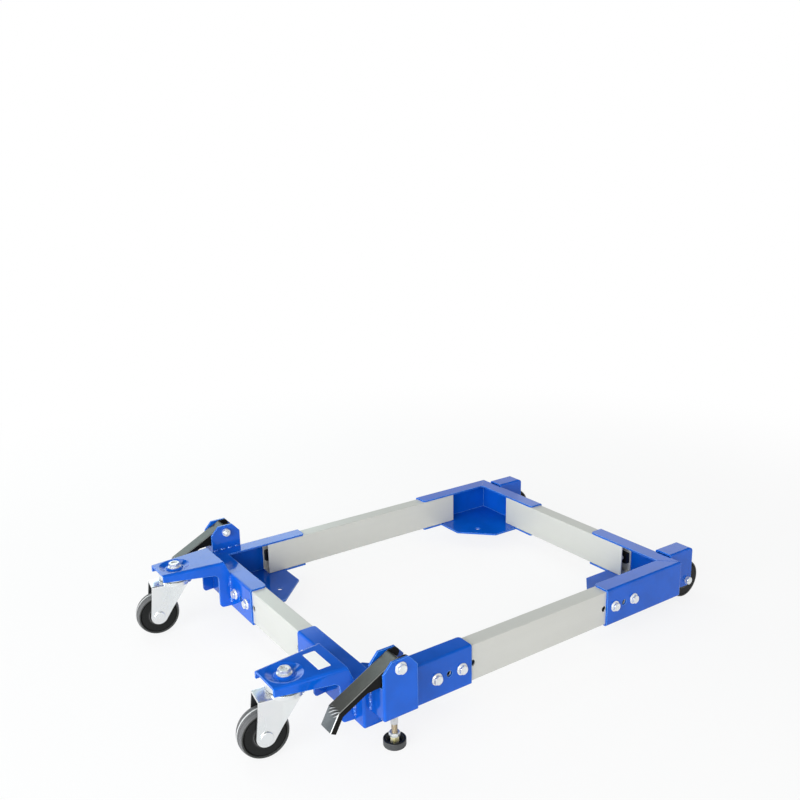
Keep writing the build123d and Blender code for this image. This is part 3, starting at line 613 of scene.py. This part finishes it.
def weld_bead(mesh, start, end, radius, ripple):
    """Add a rippled bead between two points, tapered at both ends."""
    crest_highlight, trough, taper = 1.10, 0.95, 0.6
    wander, beat = 0.05, 2.4
    run = Vector(end) - Vector(start)
    rings = max(2, 2 * round(run.length / ripple))
    swell = [(crest_highlight if level % 2 else trough) + wander * math.sin(level * beat) for level in range(rings + 1)]
    swell[0] = swell[rings] = taper
    ring = bmesh.ops.create_circle(
        mesh, cap_ends=True, cap_tris=False, segments=12, radius=radius * swell[0])["verts"]
    made = list(ring)
    edges = list({e for v in ring for e in v.link_edges})
    for before, after in zip(swell, swell[1:]):
        grown = bmesh.ops.extrude_edge_only(mesh, edges=edges)["geom"]
        ring = [g for g in grown if isinstance(g, bmesh.types.BMVert)]
        edges = [g for g in grown if isinstance(g, bmesh.types.BMEdge)]
        bmesh.ops.translate(mesh, vec=UP * run.length / rings, verts=ring)
        bmesh.ops.scale(mesh, vec=(after / before, after / before, 1), verts=ring)
        made += ring
    bmesh.ops.edgeloop_fill(mesh, edges=edges)
    bmesh.ops.transform(mesh, matrix=aim(run, start), verts=made)


def fillet_weld(mesh, sizes, start, end):
    """Add a fillet weld's bead between two points."""
    weld_bead(mesh, start, end, sizes.weld_radius, sizes.weld_ripple)


def threaded_rod(mesh, place, low, high, radius, pitch, depth, steps=20):
    """Add a rod with a real thread between two heights."""
    merge, overlap = 0.01 * MM, 0.02 * MM
    turns = int((high - low) / pitch)
    first = low + ((high - low) - turns * pitch) / 2
    root = radius - depth
    verts = [mesh.verts.new((root + out * depth, 0, first + along * pitch)) for along, out in THREAD_PROFILE]
    profile = verts + [mesh.edges.new(pair) for pair in zip(verts, verts[1:])]
    before = set(mesh.verts) - set(verts)
    bmesh.ops.spin(
        mesh, geom=profile, cent=(0, 0, 0), axis=(0, 0, 1), dvec=(0, 0, pitch / steps),
        angle=2 * math.pi * (turns - 1), steps=steps * (turns - 1), use_merge=False)
    made = [v for v in mesh.verts if v not in before]
    bmesh.ops.remove_doubles(mesh, verts=made, dist=merge)
    made = [v for v in mesh.verts if v not in before]
    core = bmesh.ops.create_cone(
        mesh, cap_ends=True, cap_tris=False, segments=steps, radius1=root + overlap, radius2=root + overlap,
        depth=high - low)["verts"]
    bmesh.ops.translate(mesh, vec=(0, 0, (low + high) / 2), verts=core)
    bmesh.ops.translate(mesh, vec=place, verts=made + core)


def bevelled_prism(mesh, place, low, high, radius, sides, bevel, rounds):
    """Add an upright prism between two heights, its rims bevelled."""
    made = bmesh.ops.create_cone(
        mesh, cap_ends=True, cap_tris=False, segments=sides, radius1=radius, radius2=radius,
        depth=high - low)["verts"]
    rims = {e for v in made for e in v.link_edges if abs(e.verts[0].co.z - e.verts[1].co.z) < TINY}
    cut = bmesh.ops.bevel(
        mesh, geom=list(rims), offset=bevel, offset_type="OFFSET", affect="EDGES", segments=rounds,
        profile=0.5, material=-1)
    verts = {v for v in made if v.is_valid} | set(cut["verts"])
    bmesh.ops.translate(mesh, vec=Vector(place) + UP * (low + high) / 2, verts=list(verts))


def weld_material():
    """The welds' coat, which the first operator makes."""
    return bpy.data.materials["weld_powder_coat"]


# Operators


class MACHINEBASE_OT_finishes(bpy.types.Operator):
    """Give every piece of the model its finish."""

    bl_idname = "machine_base.finishes"
    bl_label = "Finishes"

    def execute(self, context):
        colours = context.scene.base_colours
        sizes = context.scene.base_sizes
        fork_look = {"metal": 0.94, "roughness": 0.22, "tint_share": 0.10}
        side_rail = rail_paint("side_rail_paint", colours, 1)
        weld_coat(colours)
        shared = {
            "blue_powder_coat": powder_coat(colours),
            "silver_rail": rail_paint("cross_rail_paint", colours, 0),
            "bright_zinc": zinc_plate("bright_zinc", colours, metal=0.62, roughness=0.22, tint_share=0.20),
            "fork_zinc": zinc_plate("fork_zinc", colours, **fork_look),
            "spring_steel": bare_steel("spring_wire", (0.36, 0.37, 0.39), 0.24),
            "pedal_black": lever_paint(colours, sizes, Vector(joints["right_pedal_lift"]["pos_m"])),
            "cam_steel": bare_steel("cam_steel", (0.62, 0.63, 0.65), 0.22),
            "foot_zinc": yellow_plate(colours, sum(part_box("right_foot_stem"), Vector()) / 2),
            "foot_rubber": pad_rubber(colours),
        }
        chosen = {part["node"]: shared.get(part["material_slot"]) for part in frame["record"]["subparts"]}
        # Painted shade: the nut bars are made black so the open holes into the rails read dark
        chosen["rail_nut_bars"] = bare_steel("nut_bar_shade", (0.05, 0.05, 0.052), 0.45)
        for side in SIDES:
            chosen[f"{side}_side_rail"] = side_rail
            roll = joints[f"{side}_caster_roll"]
            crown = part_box(f"{side}_fork")[1].z - sizes.fork_crown - roll["pos_m"][2]
            chosen[f"{side}_fork"] = zinc_plate(
                f"{side}_fork_zinc", colours, fork=(roll, sizes.fork_gap / 2, crown), **fork_look)
            for wheel in (f"{side}_caster", f"{side}_rear"):
                joint = joints[f"{wheel}_roll"]
                chosen[f"{wheel}_tyre"] = tyre_rubber(f"{wheel}_tyre", colours, joint)
                chosen[f"{wheel}_hub"] = hub_plastic(f"{wheel}_hub", joint)
        for name, piece in nodes.items():
            piece.data.materials.clear()
            piece.data.materials.append(chosen[name])
        return {"FINISHED"}


class MACHINEBASE_OT_arm_welds(bpy.types.Operator):
    """Weld the caster arms' legs to the front brackets."""

    bl_idname = "machine_base.arm_welds"
    bl_label = "Arm welds"

    def execute(self, context):
        sizes = context.scene.base_sizes
        above_leg, below_top = 6 * MM, 4 * MM
        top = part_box("front_left_corner")[1].z
        mesh = bmesh.new()
        for side in SIDES:
            low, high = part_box(f"{side}_caster_arm")
            for x in (low.x, high.x):
                fillet_weld(mesh, sizes, (x, high.y, low.z + above_leg), (x, high.y, top - below_top))
        finished(mesh, "arm_welds", weld_material(), "frame")
        return {"FINISHED"}


class MACHINEBASE_OT_clevis_welds(bpy.types.Operator):
    """Weld the pedal clevises to the brackets, and the inner cheeks to the top flanges."""

    bl_idname = "machine_base.clevis_welds"
    bl_label = "Clevis welds"

    def execute(self, context):
        sizes = context.scene.base_sizes
        inset, short_of_end = 4 * MM, 3 * MM
        first_tack, tack_share = 2 * MM, 0.62
        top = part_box("front_left_corner")[1].z
        mesh = bmesh.new()
        for side in SIDES:
            low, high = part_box(f"{side}_pedal_clevis")
            wall = high.x if side == "left" else low.x
            fillet_weld(mesh, sizes, (wall, low.y, low.z + inset), (wall, low.y, top - short_of_end))
            fillet_weld(mesh, sizes, (wall, low.y + inset, low.z), (wall, high.y - short_of_end, low.z))
            low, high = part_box(f"{side}_inner_cheek")
            face = high.x if side == "left" else low.x
            pitch = (high.y - low.y) / sizes.cheek_tacks
            for tack in range(sizes.cheek_tacks):
                start = low.y + tack * pitch + first_tack
                fillet_weld(mesh, sizes, (face, start, top), (face, start + tack_share * pitch, top))
        finished(mesh, "clevis_welds", weld_material(), "frame")
        return {"FINISHED"}


class MACHINEBASE_OT_housing_welds(bpy.types.Operator):
    """Weld the rear wheels' housings to the rear brackets."""

    bl_idname = "machine_base.housing_welds"
    bl_label = "Housing welds"

    def execute(self, context):
        sizes = context.scene.base_sizes
        above_bottom, below_top = 4 * MM, 5 * MM
        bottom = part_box("rear_left_corner")[0].z
        mesh = bmesh.new()
        for side in SIDES:
            low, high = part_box(f"{side}_wheel_housing")
            for x in (low.x, high.x):
                fillet_weld(mesh, sizes, (x, low.y, bottom + above_bottom), (x, low.y, high.z - below_top))
        finished(mesh, "housing_welds", weld_material(), "frame")
        return {"FINISHED"}


class MACHINEBASE_OT_corner_seams(bpy.types.Operator):
    """Lay the ground weld across each bracket's mitred top flange."""

    bl_idname = "machine_base.corner_seams"
    bl_label = "Corner seams"

    def execute(self, context):
        sizes = context.scene.base_sizes
        flange, bend, sunk = 28 * MM, 4 * MM, 0.25 * MM
        mesh = bmesh.new()
        for end in ("front", "rear"):
            for side in SIDES:
                low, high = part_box(f"{end}_{side}_corner")
                x, into_x = (low.x, 1) if side == "left" else (high.x, -1)
                y, into_y = (low.y, 1) if end == "front" else (high.y, -1)
                outer = (x + into_x * bend, y + into_y * bend, high.z - sunk)
                inner = (x + into_x * flange, y + into_y * flange, high.z - sunk)
                weld_bead(mesh, outer, inner, sizes.seam_radius, sizes.weld_ripple)
        finished(mesh, "corner_seams", weld_material(), "frame")
        return {"FINISHED"}


class MACHINEBASE_OT_foot_screws(bpy.types.Operator):
    """Make the levelling screws with their threads, hexagons and round ends."""

    bl_idname = "machine_base.foot_screws"
    bl_label = "Foot screws"

    def execute(self, context):
        sizes = context.scene.base_sizes
        plate = bpy.data.materials["yellow_zinc"]
        rod_radius = 3.97 * MM
        hex_radius, hex_bevel = sizes.foot_hex / math.sqrt(3), 0.55 * MM
        boss_radius, boss_bevel, overlap = 6 * MM, 0.8 * MM, 0.2 * MM
        for side in SIDES:
            mesh = bmesh.new()
            low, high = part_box(f"{side}_foot_stem")
            hex_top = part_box(f"{side}_foot_nut")[0].z
            seat = hex_top - sizes.foot_hex_height
            place = Vector(((low.x + high.x) / 2, (low.y + high.y) / 2, 0))
            threaded_rod(mesh, place, seat, high.z, rod_radius, sizes.thread_pitch, sizes.thread_depth)
            bevelled_prism(mesh, place, seat, hex_top, hex_radius, sides=6, bevel=hex_bevel, rounds=2)
            bevelled_prism(
                mesh, place, low.z, seat + overlap, boss_radius, sides=32, bevel=boss_bevel, rounds=3)
            screw = finished(mesh, f"{side}_foot_screw", plate, f"{side}_leveller")
            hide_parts(f"{side}_foot_stem")
        return {"FINISHED"}


class MACHINEBASE_OT_return_springs(bpy.types.Operator):
    """Wind the return springs, which stretch between the clevis floor and the plunger's head."""

    bl_idname = "machine_base.return_springs"
    bl_label = "Return springs"

    def execute(self, context):
        sizes = context.scene.base_sizes
        wire, turns = sizes.spring_wire, sizes.spring_turns
        steps = 28
        for side in SIDES:
            low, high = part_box(f"{side}_return_spring")
            radius = (high.x - low.x - wire) / 2
            place = Vector(((low.x + high.x) / 2, (low.y + high.y) / 2, low.z + wire / 2))
            rise = (high.z - low.z - wire) / turns
            mesh = bmesh.new()
            ring = bmesh.ops.create_circle(
                mesh, cap_ends=True, cap_tris=False, segments=12, radius=wire / 2)["verts"]
            bmesh.ops.transform(mesh, matrix=aim(BACK, (radius, 0, 0)), verts=ring)
            bmesh.ops.spin(
                mesh, geom=list(mesh.verts) + list(mesh.edges) + list(mesh.faces), cent=(0, 0, 0),
                axis=(0, 0, 1), dvec=(0, 0, rise / steps), angle=2 * math.pi * turns, steps=steps * turns,
                use_merge=False)
            if side == "left":
                bmesh.ops.scale(mesh, vec=(-1, 1, 1), verts=mesh.verts)
            bmesh.ops.translate(mesh, vec=place, verts=mesh.verts)
            steel = bpy.data.materials["spring_wire"]
            spring = finished(mesh, f"{side}_wound_spring", steel, None)
            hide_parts(f"{side}_return_spring")
            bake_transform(spring)
        return {"FINISHED"}


class MACHINEBASE_OT_blank_label(bpy.types.Operator):
    """Lay the blank label on the right caster arm."""

    bl_idname = "machine_base.blank_label"
    bl_label = "Blank label"

    def execute(self, context):
        sizes = context.scene.base_sizes
        low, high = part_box("right_caster_arm")
        thick, lifted = 0.16 * MM, 0.02 * MM
        corner_radius = 1.6 * MM
        from_bracket = 31.3 * MM
        mesh = bmesh.new()
        made = bmesh.ops.create_cube(mesh, size=1.0)["verts"]
        bmesh.ops.scale(mesh, vec=(sizes.label_length, sizes.label_width, thick), verts=made)
        corners = [e for e in mesh.edges if abs(e.verts[0].co.z - e.verts[1].co.z) > thick / 2]
        bmesh.ops.bevel(
            mesh, geom=corners, offset=corner_radius, offset_type="OFFSET", affect="EDGES", segments=6,
            profile=0.5, material=-1)
        middle = ((low.x + high.x) / 2, high.y - from_bracket, high.z + thick / 2 + lifted)
        bmesh.ops.translate(mesh, vec=middle, verts=mesh.verts)
        film = label_film(context.scene.base_colours)
        finished(mesh, "blank_label", film, "frame", smooth=False)
        return {"FINISHED"}


class MACHINEBASE_OT_stage(bpy.types.Operator):
    """Set up the floor, the soft lights, the surroundings and the camera."""

    bl_idname = "machine_base.stage"
    bl_label = "Stage"

    def execute(self, context):
        scene = context.scene
        scene.view_settings.view_transform = "Standard"
        self.floor(scene.base_colours)
        self.surroundings(scene)
        for light in LIGHTS:
            self.soft_light(*light)
        self.camera(scene)
        return {"FINISHED"}

    def floor(self, colours):
        """A pale floor that keeps the shadow and fades to white away from the base."""
        fade_start, fade_end, least_white = 0.7, 1.7, 0.85
        mesh = bmesh.new()
        bmesh.ops.create_grid(mesh, x_segments=2, y_segments=2, size=FLOOR_HALF)
        data = bpy.data.meshes.new("studio_floor")
        mesh.to_mesh(data)
        mesh.free()
        finish = Finish("studio_floor")
        finish.dress(Base_Color=tuple(colours.floor), Roughness=0.9, Specular_IOR_Level=0.0)
        seen = finish.node("ShaderNodeLightPath", output="Is Camera Ray")
        seen = seen + seen.sibling("Is Glossy Ray") + seen.sibling("Is Transmission Ray")
        far = finish.length(finish.place).step(fade_start, fade_end)
        white = least_white + (1 - least_white) * far
        glow = finish.node("ShaderNodeEmission", None, {"Color": (1, 1, 1, 1), "Strength": 1.0})
        blended = finish.node(
            "ShaderNodeMixShader", None,
            {0: seen * white, 1: Term(finish, finish.shader.outputs[0]), 2: glow})
        finish.feed(finish.tree.nodes["Material Output"].inputs["Surface"], blended)
        data.materials.append(finish.material)
        floor = bpy.data.objects.new("studio_floor", data)
        bpy.context.scene.collection.objects.link(floor)

    def surroundings(self, scene):
        """A white room that lights the base less than it shows, with a dimmer ceiling in reflections."""
        horizon, ceiling_dimming, own_light = (0.43, 0.52), 0.9, 0.40
        world = bpy.data.worlds.new("studio")
        world.use_nodes = True
        scene.world = world
        room = Wiring(world.node_tree)
        seen = room.node("ShaderNodeLightPath", output="Is Camera Ray")
        mirrored = seen.sibling("Is Glossy Ray") + seen.sibling("Is Transmission Ray")
        height = room.parts(room.node("ShaderNodeTexCoord", output="Generated"))[2]
        ceiling = height.step(*horizon)
        strength = seen + mirrored * (1 - ceiling_dimming * ceiling) + (1 - seen - mirrored) * own_light
        backdrop = room.tree.nodes["Background"]
        backdrop.inputs["Color"].default_value = (1, 1, 1, 1)
        room.feed(backdrop.inputs["Strength"], strength)

    def soft_light(self, name, place, width, height, power, tint):
        """A rectangle of light that faces the base."""
        data = bpy.data.lights.new(name, "AREA")
        data.shape = "RECTANGLE"
        data.size = width
        data.size_y = height
        data.energy = power
        data.color = tint
        lamp = bpy.data.objects.new(name, data)
        lamp.matrix_world = aim(Vector(place) - LIT_POINT, place)
        bpy.context.scene.collection.objects.link(lamp)

    def camera(self, scene):
        """The camera, placed from the middle of the rails."""
        view = scene.base_view
        middle = (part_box("front_rail")[0].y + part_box("rear_rail")[1].y) / 2
        right = Vector(view.right).normalized()
        up = Vector(view.up).normalized()
        back = right.cross(up).normalized()
        data = bpy.data.cameras.new("camera")
        data.sensor_width = SENSOR_WIDTH
        data.lens = view.lens
        data.clip_start = 0.01
        camera = bpy.data.objects.new("camera", data)
        turned = Matrix((right, back.cross(right), back)).transposed().to_4x4()
        camera.matrix_world = Matrix.Translation(Vector(view.place) + BACK * middle) @ turned
        scene.collection.objects.link(camera)
        scene.camera = camera


class MACHINEBASE_PT_panel(bpy.types.Panel):
    """Lists the steps that dress the base."""

    bl_idname = "MACHINEBASE_PT_panel"
    bl_label = "Machine base"
    bl_space_type = "VIEW_3D"
    bl_region_type = "UI"
    bl_category = "Machine base"

    def draw(self, context):
        layout = self.layout
        for step in STEPS:
            layout.operator(step.bl_idname)
        for group in (context.scene.base_sizes, context.scene.base_colours, context.scene.base_view):
            column = layout.column()
            for name in group.bl_rna.properties.keys():
                if name not in ("rna_type", "name"):
                    column.prop(group, name)


STEPS = (
    MACHINEBASE_OT_finishes,
    MACHINEBASE_OT_arm_welds,
    MACHINEBASE_OT_clevis_welds,
    MACHINEBASE_OT_housing_welds,
    MACHINEBASE_OT_corner_seams,
    MACHINEBASE_OT_foot_screws,
    MACHINEBASE_OT_return_springs,
    MACHINEBASE_OT_blank_label,
    MACHINEBASE_OT_stage,
)
GROUPS = {"base_sizes": BaseSizes, "base_colours": BaseColours, "base_view": BaseView}


def register():
    for group in GROUPS.values():
        bpy.utils.register_class(group)
    for name, group in GROUPS.items():
        setattr(bpy.types.Scene, name, PointerProperty(type=group))
    for step in STEPS:
        bpy.utils.register_class(step)
    bpy.utils.register_class(MACHINEBASE_PT_panel)


def unregister():
    bpy.utils.unregister_class(MACHINEBASE_PT_panel)
    for step in reversed(STEPS):
        bpy.utils.unregister_class(step)
    for name in GROUPS:
        delattr(bpy.types.Scene, name)
    for group in GROUPS.values():
        bpy.utils.unregister_class(group)


def main():
    """Dress the base."""
    register()
    bpy.ops.machine_base.finishes()
    bpy.ops.machine_base.arm_welds()
    bpy.ops.machine_base.clevis_welds()
    bpy.ops.machine_base.housing_welds()
    bpy.ops.machine_base.corner_seams()
    bpy.ops.machine_base.foot_screws()
    bpy.ops.machine_base.return_springs()
    bpy.ops.machine_base.blank_label()
    bpy.ops.machine_base.stage()


if __name__ == "__main__":
    main()
